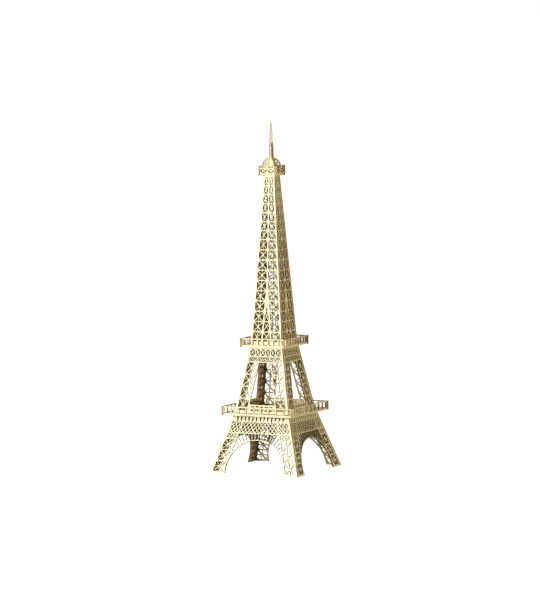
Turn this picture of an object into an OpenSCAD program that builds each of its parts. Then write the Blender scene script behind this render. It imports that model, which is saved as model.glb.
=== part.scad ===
// Lattice tower model: a press-fit souvenir cut from flat plywood sheet.
// Three tiers of leaning panels, two railed decks, a railed head plate and a crossed spire.
// Origin: middle of the base, on the floor. +Z is up and -Y is the front.

/* [Sheet] */
// Thickness of the plywood sheet
ply = 2.5; // [2.2:0.1:3]
// Play left on each side of a slot
gap = 0.1; // [0.05:0.05:0.2]

/* [Leg tier] */
// Width across the feet
foot_w = 141.6; // [125:0.1:165]
// Width across the top of the leg panels
leg_top_w = 89.5; // [80:0.1:98]
// Height of the leg tier
leg_h = 82.7; // [74:0.1:99]
// Width of one leg, from the corner to its inner edge
leg_w = 20.8; // [18:0.1:23]
// Radius of the arch between two legs
arch_r = 47; // [40:0.1:50]
// Height of the arch centre up the panel
arch_rise = 3.2; // [1:0.1:5]
// Height of the foot bar
foot_bar = 2.8; // [2:0.1:4]
// Depth of the girder lattice under the deck
girder_h = 15.6; // [12:0.1:17]
// Depth of the fine lattice under the girder
fine_h = 7.6; // [6:0.1:9]
// Depth of the slotted band above the girder
slot_band = 10.2; // [9:0.1:11]
// Solid border above the slots
slot_border = 2.4; // [2:0.1:3]
// Number of slots under the deck
slot_count = 13; // [9:1:15]
// Spacing of those slots
slot_pitch = 6.1; // [5.2:0.1:6.4]
// Width of one of those slots
slot_w = 2.3; // [1.6:0.1:2.8]
// Crossed cells in each leg
leg_cells = 3; // [2:1:4]
// Width of the ring around the arch
ring_w = 1; // [0.9:0.1:1.6]
// Width of the spokes between the arch and the girder
spoke_w = 0.7; // [0.6:0.05:1.1]
// Angle from one spoke to the next
spoke_step = 5.4; // [5:0.1:8]

/* [Middle tier] */
// Width across the bottom of the middle panels
mid_w = 87.3; // [78:0.1:94]
// Width across the top of the middle panels
mid_top_w = 52; // [50:0.1:58]
// Height of the middle tier
mid_h = 94.9; // [84:0.1:114]
// Width of one middle leg, from the corner to its inner edge
mid_leg_w = 20.8; // [16:0.1:21]
// Height of the cross beam between the middle legs
beam_h = 12.4; // [11:0.1:15]
// Spacing of the slots in the beam
beam_slot_pitch = 7.5; // [7:0.1:9]
// Width of one of those slots
beam_slot_w = 5; // [3:0.1:5.8]
// Height of one of those slots
beam_slot_h = 2.2; // [1.4:0.1:2.4]
// Height of the lower row of slots above the foot of the beam
beam_low = 3.2; // [3:0.1:3.6]
// Solid border between the upper row of slots and the doorway
beam_border = 1.8; // [1.4:0.1:2.2]
// Solid border under the crossed cells of the middle legs
mid_low = 4; // [3:0.1:5]
// Solid border along the top of the middle panels
mid_border = 3.6; // [3:0.1:4.4]
// Height of the row of crossed cells along the top
mid_row_h = 9.6; // [8:0.1:11]
// Depth of the fine lattice under that row
mid_fine_h = 7; // [6:0.1:8]
// Crossed cells in the row along the top
mid_row_cells = 6; // [4:1:7]
// Crossed cells in each middle leg
mid_cells = 4; // [3:1:5]

/* [Shaft tier] */
// Width across the bottom of the shaft panels
shaft_w = 50.2; // [49:0.1:56]
// Width across the top of the shaft panels
shaft_top_w = 17.2; // [16:0.1:21]
// Height of the shaft tier
shaft_h = 243.2; // [200:0.1:292]
// Rows of crossed cells in the wider, lower part
low_rows = 10; // [8:1:11]
// Rows of crossed cells in the upper part
high_rows = 7; // [5:1:8]
// Height of the lower part with its wider rows
low_rows_h = 151.9; // [120:0.1:160]
// Height at which the middle chord splits in two
split_h = 88; // [70:0.1:110]
// Distance between the two chords at the foot of the shaft
split_w = 15.6; // [11:0.1:17]
// Solid border at the foot of the shaft panels
shaft_low = 4.2; // [3.6:0.1:5]
// Solid border at the top of the shaft panels
shaft_border = 1.4; // [1.2:0.1:2]

/* [Decks and head] */
// Length of the lower deck's railing boards
deck1_w = 116.8; // [104:0.1:140]
// Height of the lower deck's railing boards
rail1_h = 13; // [11:0.1:15]
// Bays in each lower railing
rail1_bays = 9; // [7:1:10]
// Length of the upper deck's railing boards
deck2_w = 75.4; // [70:0.1:90]
// Height of the upper deck's railing boards
rail2_h = 12.6; // [11:0.1:15]
// Bays in each upper railing
rail2_bays = 8; // [6:1:9]
// Solid band along the bottom of each railing
band_h = 3; // [2.8:0.1:4]
// Solid border along the top of each railing
rail_top = 1.5; // [1.2:0.1:2]
// Width of the posts in the railings
rail_post = 1.3; // [1:0.1:1.6]
// Width of the posts beside the crossing slots
corner_post = 1.2; // [1:0.1:1.6]
// Length by which a crossed board runs past its neighbour
lip = 1.4; // [1:0.1:2]
// Length of the head's railing boards
head_w = 29.6; // [28.5:0.1:36]
// Height of the head's railing boards at their posts
head_h = 14.6; // [14:0.1:18]
// Length by which a head board runs past its neighbour
head_lip = 0.8; // [0.6:0.1:1.2]
// Solid band along the bottom of the head boards
head_band = 4.1; // [3.6:0.1:4.8]
// Height of the crossed cells of the head boards
head_cell_h = 6.1; // [5:0.1:6.6]
// Width of the bar over those cells
head_bar = 1.5; // [1.2:0.1:1.8]
// Width of the post in the middle of a head board
head_post = 2.6; // [2:0.1:3.2]
// Width of the posts at the corners of the head
head_corner = 0.8; // [0.7:0.1:1.2]

/* [Dome and spire] */
// Clearance between the dome plates and the corners of the head
dome_play = 0.6; // [0.3:0.1:1.5]
// Height of the dome centre above the bottom of the head
dome_rise = 11.8; // [9:0.1:13]
// Diameter of the round holes in the dome
dome_hole = 3.2; // [2:0.1:3.4]
// Height of the spire above the dome
spire_h = 49.2; // [40:0.1:62]
// Width of the spire where it leaves the dome
spire_w = 6.8; // [6:0.1:8]
// Width of the spire at its tip
tip_w = 1.6; // [1.4:0.1:2.4]
// Height of the two prongs above the dome on the slotted plate
prong_h = 20.8; // [14:0.1:24]

/* [Lattice] */
// Solid border along the outer edge of a tier panel
rim_w = 3.2; // [2.6:0.1:3.6]
// Solid border along the outer edge of a shaft panel
shaft_rim = 2.5; // [2.2:0.1:2.8]
// Width by which the rims of the side panels are narrower
side_trim = 0.8; // [0.4:0.1:1]
// Width of the chords up the middle of the shaft
chord_w = 2.2; // [1.8:0.1:2.4]
// Width of the chord along the inner edge of a leg
inner_w = 1.6; // [1.4:0.1:2.2]
// Width of the horizontal struts between cells
bar_w = 1.4; // [1.2:0.1:1.6]
// Width of the crossed struts
brace_w = 1.05; // [0.8:0.05:1.15]
// Width of the struts in the girder and in the crossed cells under the upper deck
girder_w = 1.15; // [0.9:0.05:1.3]
// Width of the upright through a crossed cell
post_w = 0.8; // [0.7:0.05:1]
// Radius of the plate where the crossed struts meet
hub_r = 1.3; // [1:0.1:1.9]
// Width of the struts in the fine lattice
mesh_w = 0.8; // [0.7:0.05:0.9]

/* [Hidden] */

panel_tone = "#f3e6bd";
deck_tone = "#e8d6a4";
spire_tone = "#e4d4a6";

// Heights of the decks' undersides, stacked from the floor up
deck1_z = leg_h;
mid_z = deck1_z + ply;
deck2_z = mid_z + mid_h;
shaft_z = deck2_z + ply;
head_z = shaft_z + shaft_h;

// A tier is [width at its bottom, width at its top, bottom height, top height]
leg_tier = [foot_w, leg_top_w, 0, deck1_z];
mid_tier = [mid_w, mid_top_w, mid_z, deck2_z];
shaft_tier = [shaft_w, shaft_top_w, shaft_z, head_z];

// Which quarter turn stands a panel or board on each side
front = 0;
right = 90;
back = 180;
left = 270;

// Length a tab stops short of the far face of its plate
tab_short = 0.1;
// Width of the tabs that key the tiers to the plates
tab_w = 9;
shaft_tab_w = 5;
// Middles of the tabs along each edge; the tiers above and below a plate take turns
leg_tabs = [-12, 12];
mid_foot_tabs = [-31, 31];
mid_tabs = [-7, 7];
shaft_foot_tabs = [-17, 17];
shaft_tabs = [0];
// Length by which a cut runs past the face it starts from
past = 1;

// Angle by which a tier's panels lean inward
function lean(t) = atan2((t[0] - t[1]) / 2, t[3] - t[2]);
// Length of a tier's panels up their slope
function slant(t) = (t[3] - t[2]) / cos(lean(t));
// Half-width that a panel loses for each unit up its slope
function taper(t) = (t[0] - t[1]) / 2 / slant(t);
// Half-width between the corners of a tier at distance v up the slope
function half_at(t, v) = t[0] / 2 - taper(t) * v;
// Distance from the corner at which a side panel stops behind the front panel
function butt(t) = (ply / sqrt(1 - pow(sin(lean(t)), 4)) + gap) * sqrt(1 + pow(taper(t), 2));
// Distance up the slope at which a panel's inner edge clears the plate under it
function seat(t) = ply * tan(lean(t));

// Shortest edge of a hole; a smaller hole is left solid
least_edge = 0.35;
// Largest share of a hole's edge that a hub takes, and the shortest cut worth making
most_cut = 0.4;
least_cut = 0.05;

// Unit vector along v, and v turned a quarter turn to the left
function unit(v) = v / norm(v);
function turned(v) = [-v[1], v[0]];
function turn_area(a, b) = a[0] * b[1] - a[1] * b[0];
// Where the line through p along d meets the line through q along e
function meet(p, d, q, e) = p + d * turn_area(q - p, e) / turn_area(d, e);
// Point at share k of the way from a to b
function between(a, b, k) = a + (b - a) * k;

// Outline pts, counter-clockwise, with edge i moved inward by ins[i]
function inset(pts, ins) = let (n = len(pts)) [
    for (i = [0 : n - 1])
        let (a = pts[(i + n - 1) % n], b = pts[i], c = pts[(i + 1) % n],
            d = unit(b - a), e = unit(c - b))
        meet(a + turned(d) * ins[(i + n - 1) % n], d, b + turned(e) * ins[i], e)];
// True while every edge of the inset outline q still runs the way of pts
function stays_open(q, pts) = let (n = len(pts))
    min([for (i = [0 : n - 1])
        (q[(i + 1) % n] - q[i]) * unit(pts[(i + 1) % n] - pts[i])]) > least_edge;
// Corner b of an outline cut back by s along both of its edges
function trimmed(a, b, c, s) =
    let (cut = min(s, most_cut * norm(a - b), most_cut * norm(c - b)))
    cut <= least_cut ? [b] : [b + unit(a - b) * cut, b + unit(c - b) * cut];

// One hole of a lattice between the nodes pts. Edge i keeps ins[i] of its strut, and node i
// keeps a plate of radius hubs[i].
module window(pts, ins, hubs) {
    q = inset(pts, ins);
    n = len(pts);
    if (stays_open(q, pts))
        polygon([for (i = [0 : n - 1])
            each trimmed(q[(i + n - 1) % n], q[i], q[(i + 1) % n], hubs[i] - norm(q[i] - pts[i]))]);
}

// Holes of one crossed cell with the corners a, b, c, d, counter-clockwise from bottom left.
// upright and level are the widths of the struts through its middle, or 0 for none.
module crossed_cell(a, b, c, d, upright, level, hub = hub_r, brace = brace_w) {
    o = meet(a, c - a, b, d - b);
    low = between(a, b, 0.5);
    top = between(d, c, 0.5);
    sx = brace / 2;
    up = upright / 2;
    lv = level / 2;
    if (upright > 0) {
        window([a, low, o], [0, up, sx], [0, 0, hub]);
        window([low, b, o], [0, sx, up], [0, 0, hub]);
        window([c, top, o], [0, up, sx], [0, 0, hub]);
        window([top, d, o], [0, sx, up], [0, 0, hub]);
    } else {
        window([a, b, o], [0, sx, sx], [0, 0, hub]);
        window([c, d, o], [0, sx, sx], [0, 0, hub]);
    }
    if (level > 0) {
        k = (o[1] - a[1]) / (d[1] - a[1]);
        window([b, between(b, c, k), o], [0, lv, sx], [0, 0, hub]);
        window([between(b, c, k), c, o], [0, sx, lv], [0, 0, hub]);
        window([d, between(a, d, k), o], [0, lv, sx], [0, 0, hub]);
        window([between(a, d, k), a, o], [0, sx, lv], [0, 0, hub]);
    } else {
        window([b, c, o], [0, sx, sx], [0, 0, hub]);
        window([d, a, o], [0, sx, sx], [0, 0, hub]);
    }
}

// Holes of a slanted lattice in the field a, b, c, d, counter-clockwise from bottom left.
// It has cols whole meshes across and rows half meshes up, of struts w wide.
module mesh_field(a, b, c, d, cols, rows, w) {
    h = w / 2;
    function at(i, j) = between(between(a, b, i / cols / 2), between(d, c, i / cols / 2), j / rows);
    for (j = [0 : rows], i = [0 : 2 * cols])
        if ((i + j) % 2 == 1) {
            if (i > 0 && i < 2 * cols && j > 0 && j < rows)
                window([at(i - 1, j), at(i, j - 1), at(i + 1, j), at(i, j + 1)], [h, h, h, h], [0, 0, 0, 0]);
            else if (j == 0 && i > 0 && i < 2 * cols)
                window([at(i - 1, 0), at(i + 1, 0), at(i, 1)], [0, h, h], [0, 0, 0]);
            else if (j == rows && i > 0 && i < 2 * cols)
                window([at(i + 1, j), at(i - 1, j), at(i, j - 1)], [0, h, h], [0, 0, 0]);
            else if (i == 0 && j > 0 && j < rows)
                window([at(0, j + 1), at(0, j - 1), at(1, j)], [0, h, h], [0, 0, 0]);
            else if (i == 2 * cols && j > 0 && j < rows)
                window([at(i, j - 1), at(i, j + 1), at(i - 1, j)], [0, h, h], [0, 0, 0]);
        }
}

// Outline of a tier panel whose edges stand back from the corners by edge. It has tabs of
// width wide with their middles at top_xs and foot_xs.
module panel_outline(t, edge, start, top_xs, foot_xs, wide) {
    s = slant(t);
    tab = (ply - tab_short) / cos(lean(t));
    polygon([[-half_at(t, start) + edge, start], [half_at(t, start) - edge, start],
        [half_at(t, s) - edge, s], [-half_at(t, s) + edge, s]]);
    for (x = top_xs)
        translate([x - wide / 2, s - past])
            square([wide, tab + past]);
    for (x = foot_xs)
        translate([x - wide / 2, start - tab])
            square([wide, tab + past]);
}

// Stands a flat panel drawn from its bottom middle on one side of a tier, leaning inward
module stand(t, side) {
    rotate([0, 0, side])
        translate([0, -t[0] / 2, t[2]])
            rotate([90 - lean(t), 0, 0])
                translate([0, 0, -ply])
                    linear_extrude(ply)
                        children();
}

// ---- Leg tier ----

// Levels up the leg panel: top of the foot bar, cells, fine lattice, girder and slots
girder_top = slant(leg_tier) - slot_band;
girder_low = girder_top - girder_h;
fine_low = girder_low - bar_w - fine_h;
slot_low = girder_top + bar_w;
slot_end = slant(leg_tier) - slot_border;

// Distances from the corner to the two sides of a leg's lattice
function rim(edge) = edge + rim_w - (edge > 0 ? side_trim : 0);
leg_in = leg_w - inner_w;

// Holes of the right-hand leg; edge is where the panel's own edge stands
module leg_holes(edge) {
    function out_x(v) = half_at(leg_tier, v) - rim(edge);
    function in_x(v) = half_at(leg_tier, v) - leg_in;
    module field(v0, v1, cols, rows, w)
        mesh_field([in_x(v0), v0], [out_x(v0), v0], [out_x(v1), v1], [in_x(v1), v1], cols, rows, w);
    cell_h = (fine_low - bar_w - foot_bar) / leg_cells;
    for (i = [0 : leg_cells - 1]) {
        v0 = foot_bar + cell_h * i + (i > 0 ? bar_w / 2 : 0);
        v1 = foot_bar + cell_h * (i + 1) - (i < leg_cells - 1 ? bar_w / 2 : 0);
        crossed_cell([in_x(v0), v0], [out_x(v0), v0], [out_x(v1), v1], [in_x(v1), v1], post_w, post_w);
    }
    field(fine_low, girder_low - bar_w, 3.5, 3, mesh_w);
    field(girder_low, girder_top, 3, 4, girder_w);
}

// Middle part of the girder, between the two legs
module girder_holes() {
    low_x = half_at(leg_tier, girder_low) - leg_w;
    top_x = half_at(leg_tier, girder_top) - leg_w;
    mesh_field([-low_x, girder_low], [low_x, girder_low], [top_x, girder_top], [-top_x, girder_top],
        10, 4, girder_w);
}

// Row of upright slots under the deck, each with a round lower end
module deck_slots() {
    r = slot_w / 2;
    for (i = [0 : slot_count - 1])
        translate([(i - (slot_count - 1) / 2) * slot_pitch, 0])
            polygon([[r, slot_end], [-r, slot_end],
                for (a = [180 : 30 : 360]) [r * cos(a), slot_low + r + r * sin(a)]]);
}

// Angle from the crown of the arch down to the last spoke
spoke_reach = 62;
// Shortest opening between two spokes
spoke_min = 1.2;

// Openings between the spokes that tie the arch ring to the girder and the right-hand leg
module spoke_holes() {
    centre = [0, arch_rise];
    ceiling = girder_low - bar_w;
    foot = [half_at(leg_tier, 0) - leg_w, 0];
    chord = [half_at(leg_tier, ceiling) - leg_w, ceiling] - foot;
    corner = foot + chord;
    function reach(p, d) = min((ceiling - p[1]) / d[1], turn_area(foot - p, chord) / turn_area(d, chord));
    function side_line(a, s) = let (d = [sin(a), cos(a)], p = centre + s * spoke_w / 2 * [cos(a), -sin(a)])
        [p + d * (arch_r + ring_w), p + d * reach(p, d)];
    for (a = [0 : spoke_step : spoke_reach]) {
        p = side_line(a, 1);
        q = side_line(a + spoke_step, -1);
        turns = p[1][1] > ceiling - 0.01 && q[1][1] < ceiling - 0.01;
        if (norm(q[1] - centre) > arch_r + ring_w + spoke_min && (q[1] - q[0]) * [sin(a), cos(a)] > 0)
            polygon(concat([p[0], q[0], q[1]], turns ? [corner] : [], [p[1]]));
    }
}

// Flat leg panel; edge is the distance from the corner to the panel's own edge
module leg_sheet(edge) {
    difference() {
        panel_outline(leg_tier, edge, 0, leg_tabs, [], tab_w);
        translate([0, arch_rise])
            circle(r = arch_r, $fn = 120);
        translate([-arch_r, -past])
            square([2 * arch_r, arch_rise + past]);
        deck_slots();
        girder_holes();
        for (side = [0, 1])
            mirror([side, 0]) {
                leg_holes(edge);
                spoke_holes();
            }
    }
}

// Leg panel stood on its side, with its feet cut flat on the floor
module leg_panel(side, edge) {
    color(panel_tone)
        difference() {
            stand(leg_tier, side)
                leg_sheet(edge);
            translate([-foot_w, -foot_w, -2 * ply])
                cube([2 * foot_w, 2 * foot_w, 2 * ply]);
        }
}

module leg_panel_front() leg_panel(front, 0);
module leg_panel_right() leg_panel(right, butt(leg_tier));
module leg_panel_back() leg_panel(back, 0);
module leg_panel_left() leg_panel(left, butt(leg_tier));

// ---- Middle tier ----

mid_row_top = slant(mid_tier) - mid_border;
mid_row_low = mid_row_top - mid_row_h;
mid_fine_low = mid_row_low - bar_w - mid_fine_h;
mid_hub_r = 1.1;

// Holes of the right-hand middle leg
module mid_leg_holes(edge) {
    function out_x(v) = half_at(mid_tier, v) - rim(edge);
    function in_x(v) = half_at(mid_tier, v) - mid_leg_w + inner_w;
    cell_h = (mid_fine_low - bar_w - mid_low) / mid_cells;
    for (i = [0 : mid_cells - 1]) {
        v0 = mid_low + cell_h * i + (i > 0 ? bar_w / 2 : 0);
        v1 = mid_low + cell_h * (i + 1) - (i < mid_cells - 1 ? bar_w / 2 : 0);
        crossed_cell([in_x(v0), v0], [out_x(v0), v0], [out_x(v1), v1], [in_x(v1), v1], post_w, 0);
    }
}

// Flat middle panel
module mid_sheet(edge) {
    function out_x(v) = half_at(mid_tier, v) - rim(edge);
    function door_x(v) = half_at(mid_tier, v) - mid_leg_w;
    fine_top = mid_row_low - bar_w;
    door_top = mid_fine_low - bar_w;
    span = out_x(mid_row_low) + out_x(mid_row_top);
    slots = floor(2 * (door_x(beam_h) - inner_w) / beam_slot_pitch);
    difference() {
        panel_outline(mid_tier, edge, seat(mid_tier), mid_tabs, mid_foot_tabs, tab_w);
        polygon([[-door_x(beam_h), beam_h], [door_x(beam_h), beam_h],
            [door_x(door_top), door_top], [-door_x(door_top), door_top]]);
        mesh_field([-out_x(mid_fine_low), mid_fine_low], [out_x(mid_fine_low), mid_fine_low],
            [out_x(fine_top), fine_top], [-out_x(fine_top), fine_top], 12, 3, mesh_w);
        for (i = [0 : mid_row_cells - 1]) {
            k0 = 2 * i / mid_row_cells - 1 + (i > 0 ? bar_w / span : 0);
            k1 = 2 * (i + 1) / mid_row_cells - 1 - (i < mid_row_cells - 1 ? bar_w / span : 0);
            crossed_cell([k0 * out_x(mid_row_low), mid_row_low], [k1 * out_x(mid_row_low), mid_row_low],
                [k1 * out_x(mid_row_top), mid_row_top], [k0 * out_x(mid_row_top), mid_row_top], 0, 0,
                mid_hub_r, girder_w);
        }
        for (i = [0 : slots - 1], v = [beam_low, beam_h - beam_border - beam_slot_h])
            translate([(i - (slots - 1) / 2) * beam_slot_pitch - beam_slot_w / 2, v])
                square([beam_slot_w, beam_slot_h]);
        for (side = [0, 1])
            mirror([side, 0])
                mid_leg_holes(edge);
    }
}

module mid_panel(side, edge) {
    color(panel_tone)
        stand(mid_tier, side)
            mid_sheet(edge);
}

module middle_panel_front() mid_panel(front, 0);
module middle_panel_right() mid_panel(right, butt(mid_tier));
module middle_panel_back() mid_panel(back, 0);
module middle_panel_left() mid_panel(left, butt(mid_tier));

// ---- Shaft tier ----

shaft_top = slant(shaft_tier) - shaft_border;
low_row = (low_rows_h - shaft_low) / low_rows;
high_row = (shaft_top - low_rows_h) / high_rows;
// Level of the strut under row i
function row_at(i) = i <= low_rows ? shaft_low + low_row * i : low_rows_h + high_row * (i - low_rows);
// Half-distance between the two chords at distance v up the slope
function split_at(v) = max(0, split_w / 2 * (1 - v / split_h));

// Narrowest half-width of a crossed cell between the two chords, and its hub
split_min = 0.8;
split_hub_r = 1.1;

// Flat shaft panel
module shaft_sheet(edge) {
    rim_in = edge + shaft_rim - (edge > 0 ? side_trim : 0);
    function out_x(v) = half_at(shaft_tier, v) - rim_in;
    function in_x(v) = split_at(v) + chord_w / 2;
    function mid_x(v) = split_at(v) - chord_w / 2;
    difference() {
        panel_outline(shaft_tier, edge, seat(shaft_tier), shaft_tabs, shaft_foot_tabs, shaft_tab_w);
        for (i = [0 : low_rows + high_rows - 1]) {
            v0 = row_at(i) + bar_w / 2;
            v1 = row_at(i + 1) - bar_w / 2;
            for (side = [0, 1])
                mirror([side, 0])
                    crossed_cell([in_x(v0), v0], [out_x(v0), v0], [out_x(v1), v1], [in_x(v1), v1],
                        post_w, 0);
            if (mid_x(v1) > split_min)
                crossed_cell([-mid_x(v0), v0], [mid_x(v0), v0], [mid_x(v1), v1], [-mid_x(v1), v1],
                    0, 0, split_hub_r);
        }
    }
}

module shaft_panel(side, edge) {
    color(panel_tone)
        stand(shaft_tier, side)
            shaft_sheet(edge);
}

module shaft_panel_front() shaft_panel(front, 0);
module shaft_panel_right() shaft_panel(right, butt(shaft_tier));
module shaft_panel_back() shaft_panel(back, 0);
module shaft_panel_left() shaft_panel(left, butt(shaft_tier));

// ---- Decks ----

// Distance from the axis to the middle of a railing board of length w whose ends run past by over_w
function rail_at(w, over_w = lip) = w / 2 - over_w - ply / 2;

// Slots in a plate for tier t's tabs, which pass between the heights z0 and z1
module tab_slots(t, z0, z1, xs, wide) {
    slope = tan(lean(t));
    out_low = t[0] / 2 - slope * (z0 - t[2]);
    in_top = t[0] / 2 - slope * (z1 - t[2]) - ply / cos(lean(t));
    for (side = [front, right, back, left], x = xs)
        rotate([0, 0, side])
            translate([x - wide / 2 - gap, -out_low - gap])
                square([wide + 2 * gap, out_low - in_top + 2 * gap]);
}

// Square plate that fits between railing boards standing at the distance at from the axis
module plate(at, z) {
    translate([0, 0, z])
        linear_extrude(ply)
            difference() {
                square(2 * at - ply - 2 * gap, center = true);
                children();
            }
}

module lower_deck() {
    color(deck_tone)
        plate(rail_at(deck1_w), deck1_z) {
            tab_slots(leg_tier, deck1_z, mid_z, leg_tabs, tab_w);
            tab_slots(mid_tier, deck1_z, mid_z, mid_foot_tabs, tab_w);
        }
}

module upper_deck() {
    color(deck_tone)
        plate(rail_at(deck2_w), deck2_z) {
            tab_slots(mid_tier, deck2_z, shaft_z, mid_tabs, tab_w);
            tab_slots(shaft_tier, deck2_z, shaft_z, shaft_foot_tabs, shaft_tab_w);
        }
}

// ---- Railings ----

// Cuts the two half-height crossing slots out of a board of height h. The front and back
// boards are slotted from above (over = true), the others from below.
module crossed_board(at, h, over) {
    difference() {
        children();
        for (s = [-1, 1])
            translate([s * at - ply / 2 - gap, over ? h / 2 - gap / 2 : -past])
                square([ply + 2 * gap, h / 2 + gap / 2 + past]);
    }
}

// Openings between the upright posts of a railing
module rail_bays(w, h, bays) {
    a = rail_at(w) - ply / 2 - gap - corner_post;
    step = (2 * a + rail_post) / bays;
    for (i = [0 : bays - 1])
        translate([-a + i * step, band_h])
            square([step - rail_post, h - rail_top - band_h]);
}

// Stands a flat board on one side, at the distance at from the axis, with its bottom at height z
module stand_board(at, z, side) {
    rotate([0, 0, side])
        translate([0, -at + ply / 2, z])
            rotate([90, 0, 0])
                linear_extrude(ply)
                    children();
}

// Railing board of length w and height h
module rail_board(w, h, bays, z, side) {
    color(panel_tone)
        stand_board(rail_at(w), z, side)
            crossed_board(rail_at(w), h, side % 180 == 0)
                difference() {
                    translate([-w / 2, 0])
                        square([w, h]);
                    rail_bays(w, h, bays);
                }
}

module lower_rail(side) rail_board(deck1_w, rail1_h, rail1_bays, deck1_z, side);
module upper_rail(side) rail_board(deck2_w, rail2_h, rail2_bays, deck2_z, side);

module lower_rail_front() lower_rail(front);
module lower_rail_right() lower_rail(right);
module lower_rail_back() lower_rail(back);
module lower_rail_left() lower_rail(left);
module upper_rail_front() upper_rail(front);
module upper_rail_right() upper_rail(right);
module upper_rail_back() upper_rail(back);
module upper_rail_left() upper_rail(left);

// ---- Head ----

head_at = rail_at(head_w, head_lip);
// Level of the top of the bar over the crossed cells, between the taller posts
head_bar_top = head_band + head_cell_h + head_bar;
// Distance from the middle of a head board to its corner posts
head_inner = head_at - ply / 2 - gap - head_corner;
head_hub_r = 1.1;

// Flat head board: two crossed cells under a bar, with three posts that rise above it
module head_sheet() {
    difference() {
        translate([-head_w / 2, 0])
            square([head_w, head_h]);
        for (side = [0, 1])
            mirror([side, 0]) {
                crossed_cell([head_post / 2, head_band], [head_inner, head_band],
                    [head_inner, head_band + head_cell_h], [head_post / 2, head_band + head_cell_h],
                    0, 0, head_hub_r, girder_w);
                translate([head_post / 2, head_bar_top])
                    square([head_inner - head_post / 2, head_h]);
            }
    }
}

module head_rail(side) {
    color(panel_tone)
        stand_board(head_at, head_z, side)
            crossed_board(head_at, head_h, side % 180 == 0)
                head_sheet();
}

module head_rail_front() head_rail(front);
module head_rail_right() head_rail(right);
module head_rail_back() head_rail(back);
module head_rail_left() head_rail(left);

// ---- Dome and spire ----

dome_z = head_z + dome_rise;
// Radius that fits a plate into the corners of the head, where it stands on the diagonal
dome_r = sqrt(2) * (head_at - ply / 2) - ply / 2 - dome_play;
// Height of the lap between the two plates above the dome centre, as a share of the radius
lap_share = 0.35;
lap_z = dome_z + dome_r * lap_share;
// Directions of the holes from the dome centre, and their distances as shares of the radius
hole_turns = [24, 54];
hole_out = 0.78;
hole_up = 0.7;

module head_plate() {
    color(deck_tone)
        plate(head_at, head_z)
            tab_slots(shaft_tier, head_z, head_z + ply, shaft_tabs, shaft_tab_w);
}

// Outline of a dome plate with its spire, drawn from the top face of the head plate
module spire_outline(top) {
    foot = head_z + ply;
    k = (top - dome_z - dome_r) / spire_h;
    top_w = spire_w + (tip_w - spire_w) * k;
    base = dome_z + dome_r - past;
    difference() {
        union() {
            translate([0, dome_z])
                circle(r = dome_r, $fn = 96);
            translate([-dome_r, foot])
                square([2 * dome_r, dome_z - foot]);
            polygon([[-spire_w / 2, base], [spire_w / 2, base], [top_w / 2, top], [-top_w / 2, top]]);
        }
        translate([-dome_r - past, foot - 2 * dome_r])
            square([2 * (dome_r + past), 2 * dome_r]);
        for (a = hole_turns, s = [-1, 1])
            translate([s * hole_out * dome_r * cos(a), dome_z + hole_up * dome_r * sin(a)])
                circle(d = dome_hole, $fn = 32);
    }
}

module stand_spire(turn) {
    rotate([0, 0, turn])
        translate([0, ply / 2, 0])
            rotate([90, 0, 0])
                linear_extrude(ply)
                    children();
}

// Plate that carries the whole spire; it is slotted from below
module spire_plate_whole() {
    color(spire_tone)
        stand_spire(45)
            difference() {
                spire_outline(dome_z + dome_r + spire_h);
                translate([-ply / 2 - gap, head_z])
                    square([ply + 2 * gap, lap_z - head_z]);
            }
}

// Plate that crosses it; it is slotted from above, which leaves two prongs beside the spire
module spire_plate_slotted() {
    color(spire_tone)
        stand_spire(-45)
            difference() {
                spire_outline(dome_z + dome_r + prong_h);
                translate([-ply / 2 - gap, lap_z])
                    square([ply + 2 * gap, dome_r + spire_h]);
            }
}

leg_panel_front();
leg_panel_right();
leg_panel_back();
leg_panel_left();
lower_deck();
lower_rail_front();
lower_rail_right();
lower_rail_back();
lower_rail_left();
middle_panel_front();
middle_panel_right();
middle_panel_back();
middle_panel_left();
upper_deck();
upper_rail_front();
upper_rail_right();
upper_rail_back();
upper_rail_left();
shaft_panel_front();
shaft_panel_right();
shaft_panel_back();
shaft_panel_left();
head_plate();
head_rail_front();
head_rail_right();
head_rail_back();
head_rail_left();
spire_plate_whole();
spire_plate_slotted();
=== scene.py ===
from math import atan2, cos, radians, sin

import bpy
from mathutils import Matrix, Vector

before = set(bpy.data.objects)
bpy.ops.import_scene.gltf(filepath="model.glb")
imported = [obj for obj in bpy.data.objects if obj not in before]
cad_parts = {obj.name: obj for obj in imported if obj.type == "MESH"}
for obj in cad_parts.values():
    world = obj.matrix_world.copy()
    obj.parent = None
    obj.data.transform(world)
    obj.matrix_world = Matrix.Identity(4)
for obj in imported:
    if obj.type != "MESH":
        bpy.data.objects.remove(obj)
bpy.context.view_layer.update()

# ---- Leg tier ----
# Four leaning panels with an arch between each pair of legs, cut by laser from 2.5 mm birch
# plywood. The front and back panels cover the corners, and the side panels stand behind them.
thickness = 0.0025
# Distance of the two glue lines from the sheet's middle plane
glue_line = 0.25 * thickness


def linear(hex_colour):
    """sRGB hex to linear: a channel under 0.04045 is divided by 12.92, any other is
    ((c + 0.055) / 1.055) to the power 2.4."""
    channels = [int(hex_colour[i : i + 2], 16) / 255 for i in (1, 3, 5)]
    return [c / 12.92 if c < 0.04045 else ((c + 0.055) / 1.055) ** 2.4 for c in channels] + [1.0]


def add(tree, kind, inputs, **settings):
    """Adds one node and sets its properties. An input that is given a socket is linked to it,
    and any other input takes the value given."""
    node = tree.nodes.new("ShaderNode" + kind)
    for name, value in settings.items():
        setattr(node, name, value)
    for name, value in inputs.items():
        if isinstance(value, bpy.types.NodeSocket):
            tree.links.new(value, node.inputs[name])
        else:
            node.inputs[name].default_value = value
    return node


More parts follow.
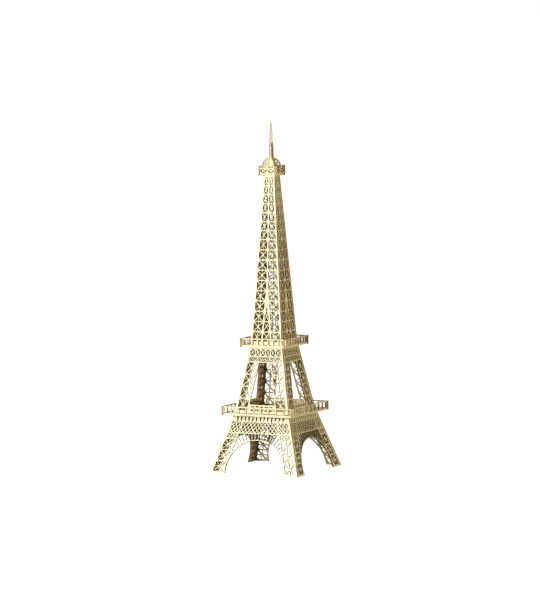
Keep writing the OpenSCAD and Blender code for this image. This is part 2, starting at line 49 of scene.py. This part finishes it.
# The default edge colours are the panels': darker than the boards', partly painted shade for the panels'
# slots and holes
def plywood(name, facing, middle, along, core="#6f5836", layers="#957c52", folded=True):
    """Three-layer birch plywood with its fibres along axis 0, 1 or 2. A point's distance from
    the sheet's middle plane is |facing . p - middle|: past the glue line it is in a face layer,
    else in the core. Faces look along facing; all else is a cut edge."""
    material = bpy.data.materials.new(name)
    material.use_nodes = True
    tree = material.node_tree
    shader = tree.nodes["Principled BSDF"]
    place = add(tree, "TexCoord", {})
    whole_point, whole_normal = place.outputs["Object"], place.outputs["Normal"]
    point, normal = whole_point, whole_normal
    if folded:
        # Opposite sides of the tower share one sheet material, mirrored through its axis
        point = add(tree, "VectorMath", {0: point}, operation="ABSOLUTE").outputs[0]
        normal = add(tree, "VectorMath", {0: normal}, operation="ABSOLUTE").outputs[0]
    # A face looks along facing and a cut edge across it: they are told apart at about 45 degrees
    turned = add(tree, "VectorMath", {0: normal, 1: facing}, operation="DOT_PRODUCT")
    side = add(tree, "Math", {0: turned.outputs["Value"]}, operation="ABSOLUTE")
    face = add(tree, "MapRange", {"Value": side.outputs[0], "From Min": 0.68, "From Max": 0.75})

    # Fibres: birch has fine, straight, low-contrast grain, which the eye reads as a faint
    # silky streak. It is drawn coarser than it is, so that it shows: 0.6 mm by 12 mm. The
    # broad patches, about 20 mm across, are the sapwood's uneven colour
    stretch = [1 / 0.0006] * 3
    stretch[along] = 1 / 0.012
    pulled = add(tree, "VectorMath", {0: whole_point, 1: stretch}, operation="MULTIPLY")
    fibre = add(tree, "TexNoise", {"Vector": pulled.outputs[0], "Scale": 1, "Detail": 3,
                                   "Roughness": 0.6})
    patch = add(tree, "TexNoise", {"Vector": whole_point, "Scale": 48, "Detail": 2})
    blend = add(tree, "Math", {0: fibre.outputs[0], 1: patch.outputs[0]}, operation="ADD")
    share = add(tree, "MapRange", {"Value": blend.outputs[0], "From Min": 0.72, "From Max": 1.28})
    wood = add(tree, "Mix", {"Factor": share.outputs[0], "A": linear("#f1eac9"), "B": linear("#d8cc9e")},
               data_type="RGBA")
    front = wood.outputs["Result"]
    if folded:
        # The side that faces inward, or down on a deck, is painted darker in clouds of about 6 mm.
        # This is painted shade, so the tower looks darker inside and under its decks. The sum of
        # normal * point * facing over the three axes is negative on that side
        spread = add(tree, "VectorMath", {0: whole_normal, 1: whole_point}, operation="MULTIPLY")
        outward = add(tree, "VectorMath", {0: spread.outputs[0], 1: facing}, operation="DOT_PRODUCT")
        outer = add(tree, "Math", {0: outward.outputs["Value"], 1: 0}, operation="GREATER_THAN")
        cloud = add(tree, "TexNoise", {"Vector": whole_point, "Scale": 160, "Detail": 3})
        painted_inner_shade = add(tree, "Mix", {"Factor": cloud.outputs[0], "A": linear("#98865c"),
                                  "B": linear("#c2b084")}, data_type="RGBA")
        both = add(tree, "Mix", {"Factor": outer.outputs[0], "A": painted_inner_shade.outputs["Result"], "B": front},
                   data_type="RGBA")
        front = both.outputs["Result"]

    # Cut edges: the beam browns them, the core shows end grain and is darker than the face
    # layers, each glue line chars to a thin dark stripe, and soot lies in specks of about 1.5 mm
    reach = add(tree, "VectorMath", {0: point, 1: facing}, operation="DOT_PRODUCT")
    offset = add(tree, "Math", {0: reach.outputs["Value"], 1: middle}, operation="SUBTRACT")
    depth = add(tree, "Math", {0: offset.outputs[0]}, operation="ABSOLUTE")
    layer = add(tree, "MapRange", {"Value": depth.outputs[0], "From Min": glue_line - 0.02 * thickness,
                                   "From Max": glue_line + 0.02 * thickness})
    seam = add(tree, "Math", {0: depth.outputs[0], 1: glue_line, 2: 0.035 * thickness},
               operation="COMPARE")
    soot = add(tree, "TexNoise", {"Vector": whole_point, "Scale": 700, "Detail": 2})
    edge = add(tree, "Mix", {"Factor": layer.outputs[0], "A": linear(core), "B": linear(layers)},
               data_type="RGBA")
    striped = add(tree, "Mix", {"Factor": seam.outputs[0], "A": edge.outputs["Result"],
                                "B": linear("#59432a")}, data_type="RGBA")
    smoke = add(tree, "MapRange", {"Value": soot.outputs[0], "From Min": 0.3, "From Max": 0.75,
                                   "To Max": 0.4})
    browned = add(tree, "Mix", {"Factor": smoke.outputs[0], "A": striped.outputs["Result"],
                                "B": linear("#6a5232")}, data_type="RGBA")
    colour = add(tree, "Mix", {"Factor": face.outputs[0], "A": browned.outputs["Result"], "B": front},
                 data_type="RGBA")
    tree.links.new(colour.outputs["Result"], shader.inputs["Base Color"])

    # Sanded and left bare, so the sheen is broad and weak, a little duller along the fibres
    sheen = add(tree, "MapRange", {"Value": fibre.outputs[0], "To Min": 0.58, "To Max": 0.76})
    tree.links.new(sheen.outputs[0], shader.inputs["Roughness"])
    shader.inputs["Specular IOR Level"].default_value = 0.25
    relief = add(tree, "Bump", {"Height": fibre.outputs[0], "Strength": 0.25, "Distance": 0.00005})
    tree.links.new(relief.outputs[0], shader.inputs["Normal"])
    return material


def dress(name, material):
    """Gives a carried-over sheet its material as its only slot."""
    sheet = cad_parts[name]
    sheet.data.materials.clear()
    sheet.data.materials.append(material)


def dress_sides(name, across, beside):
    """The front and back sheets take the material across, the right and left ones beside."""
    for side, material in (("front", across), ("back", across), ("right", beside), ("left", beside)):
        dress(name + "_" + side, material)


def dress_tier(name, low_width, top_width, low, height):
    """Materials of four leaning panels. The outer face of each stands at low_width / 2 at the
    height low and leans inward to top_width / 2, so it lies low_width / 2 * cos(lean)
    + low * sin(lean) from the origin along its own facing."""
    lean = atan2((low_width - top_width) / 2, height)
    middle = low_width / 2 * cos(lean) + low * sin(lean) - thickness / 2
    across = plywood(name + "_birch_front", (0, cos(lean), sin(lean)), middle, 2)
    beside = plywood(name + "_birch_side", (cos(lean), 0, sin(lean)), middle, 2)
    dress_sides(name + "_panel", across, beside)


leg_height = 0.0827
dress_tier("leg", 0.1416, 0.0895, 0, leg_height)

# ---- Lower deck and its railings ----
# A square plywood plate that the tier tabs pass through, with four railing boards around it.
# The boards are cut from the same sheet and cross each other in half-height slots.


def dress_deck(name, rails, width, lip, low):
    """Materials of a plate and the boards around it. A board's middle plane stands
    width / 2 - lip - thickness / 2 from the axis, and the plate's half a sheet above low."""
    at = width / 2 - lip - thickness / 2
    dress(name, plywood(name + "_birch", (0, 0, 1), low + thickness / 2, 0))
    # The cut edges of the boards are paler than those of the panels, whose darker edges are partly the
    # beam's browning and partly painted shade for their slots and holes
    across = plywood(rails + "_birch_front", (0, 1, 0), at, 0, "#a48b5e", "#c6b284")
    beside = plywood(rails + "_birch_side", (1, 0, 0), at, 1, "#a48b5e", "#c6b284")
    dress_sides(rails, across, beside)


deck_lip = 0.0014
dress_deck("lower_deck", "lower_rail", 0.1168, deck_lip, leg_height)

# ---- Middle tier ----
# Four leaning plywood panels with a tall doorway under crossed cells. Their tabs are pressed
# into the lower deck and through the upper one.
middle_low = leg_height + thickness
middle_height = 0.0949
dress_tier("middle", 0.0873, 0.052, middle_low, middle_height)

# ---- Upper deck and its railings ----
# A plywood plate about two thirds as wide as the lower deck, with four railing boards that
# cross each other in the same way.
upper_low = middle_low + middle_height
dress_deck("upper_deck", "upper_rail", 0.0754, deck_lip, upper_low)

# ---- Shaft tier ----
# Four tall, narrow plywood panels of crossed cells, the longest pieces of the model. Two tabs
# press each into the upper deck, and one tab at the top holds the head plate.
shaft_low = upper_low + thickness
shaft_height = 0.2432
dress_tier("shaft", 0.0502, 0.0172, shaft_low, shaft_height)

# ---- Head ----
# A small plywood plate on top of the shaft, inside four boards of crossed cells that are
# slotted into each other at the corners.
head_low = shaft_low + shaft_height
dress_deck("head_plate", "head_rail", 0.0296, 0.0008, head_low)

# ---- Dome and spire ----
# Two upright plywood plates that cross on the diagonals of the head. The one that is slotted
# from below carries the whole spire, and the one slotted from above only its lower part.
diagonal = 0.5**0.5
dress("spire_plate_whole",
      plywood("spire_birch_whole", (diagonal, -diagonal, 0), 0, 2, folded=False))
dress("spire_plate_slotted",
      plywood("spire_birch_slotted", (diagonal, diagonal, 0), 0, 2, folded=False))

# ---- Floor, light and camera ----
# A floor of matt white card inside a large box of white card. Both glow, and only the camera
# sees them, so that they send no light up into the tower.
# Height of the box, and its distance from the tower
room = 60


def card(name, points, faces, glow, reflected):
    """A matt white sheet of card that glows, and that only the camera sees."""
    mesh = bpy.data.meshes.new(name)
    mesh.from_pydata(points, [], faces)
    piece = bpy.data.objects.new(name, mesh)
    bpy.context.scene.collection.objects.link(piece)
    paint = bpy.data.materials.new(name)
    paint.use_nodes = True
    shader = paint.node_tree.nodes["Principled BSDF"]
    shader.inputs["Base Color"].default_value = (reflected, reflected, reflected, 1)
    shader.inputs["Specular IOR Level"].default_value = 0
    shader.inputs["Roughness"].default_value = 1
    shader.inputs["Emission Color"].default_value = (1, 1, 1, 1)
    shader.inputs["Emission Strength"].default_value = glow
    mesh.materials.append(paint)
    piece.visible_diffuse = False
    piece.visible_glossy = False
    piece.visible_transmission = False
    piece.visible_shadow = False


corners = ((-room, -room), (room, -room), (room, room), (-room, room))
card("floor", [(x, y, 0) for x, y in corners], [(0, 1, 2, 3)], 1.0, 0.3)
box_faces = [(0, 1, 5, 4), (1, 2, 6, 5), (2, 3, 7, 6), (3, 0, 4, 7), (4, 5, 6, 7)]
card("backdrop", [(x, y, z) for z in (-1, room) for x, y in corners], box_faces, 1.3, 0.0)

# The weak warm light of the room, which comes from all sides and fills the shadows
world = bpy.data.worlds.new("studio")
bpy.context.scene.world = world
world.use_nodes = True
sky = world.node_tree.nodes["Background"]
sky.inputs["Color"].default_value = linear("#fff1d8")
sky.inputs["Strength"].default_value = 0.085


def lamp(name, size, energy, azimuth, height, distance, at=0.25, colour="#ffffff"):
    """A round area light aimed at the axis at the height at, that distance away. The azimuth
    runs from the front towards +X, and it and the height angle are in degrees."""
    data = bpy.data.lights.new(name, "AREA")
    data.shape = "DISK"
    data.size = size
    data.energy = energy
    data.color = linear(colour)[:3]
    light = bpy.data.objects.new(name, data)
    bpy.context.scene.collection.objects.link(light)
    azimuth, height = radians(azimuth), radians(height)
    direction = Vector((sin(azimuth) * cos(height), -cos(azimuth) * cos(height), sin(height)))
    light.location = Vector((0, 0, at)) + direction * distance
    light.rotation_euler = direction.to_track_quat("Z", "Y").to_euler()


lamp("key_light", 0.5, 28, -18, 7, 1.4)
lamp("top_light", 1.2, 16, -10, 80, 2)
lamp("side_light", 0.8, 13, 110, 3, 1.5, at=0.12, colour="#fff0cc")
lamp("back_light", 1.0, 12, 222, 14, 1.8, colour="#fff6e4")

# The camera's turn around the tower, its height angle, its own roll and its distance
turn, rise, roll = radians(27.167), radians(5.286), radians(0.816)
distance = 5.6128
right = Vector((cos(turn), sin(turn), 0))
back = Vector((sin(turn) * cos(rise), -cos(turn) * cos(rise), sin(rise)))
up = back.cross(right)
# It aims close to the middle of the tower, a little left of the axis and a little below
aim_height, aim_left, aim_down = 0.2512, 0.005041, 0.005443
aim = Vector((0, 0, aim_height)) - right * aim_left - up * aim_down
lens = bpy.data.cameras.new("camera")
lens.sensor_width = 36
lens.lens = 233.34
lens.clip_start = 0.5
lens.clip_end = 300
camera = bpy.data.objects.new("camera", lens)
bpy.context.scene.collection.objects.link(camera)
axis_x = right * cos(roll) - up * sin(roll)
axis_y = right * sin(roll) + up * cos(roll)
place = aim + back * distance
camera.matrix_world = Matrix(
    ((axis_x[0], axis_y[0], back[0], place[0]),
     (axis_x[1], axis_y[1], back[1], place[1]),
     (axis_x[2], axis_y[2], back[2], place[2]),
     (0, 0, 0, 1))
)
bpy.context.scene.camera = camera
bpy.context.scene.view_settings.view_transform = "Standard"
bpy.context.view_layer.update()
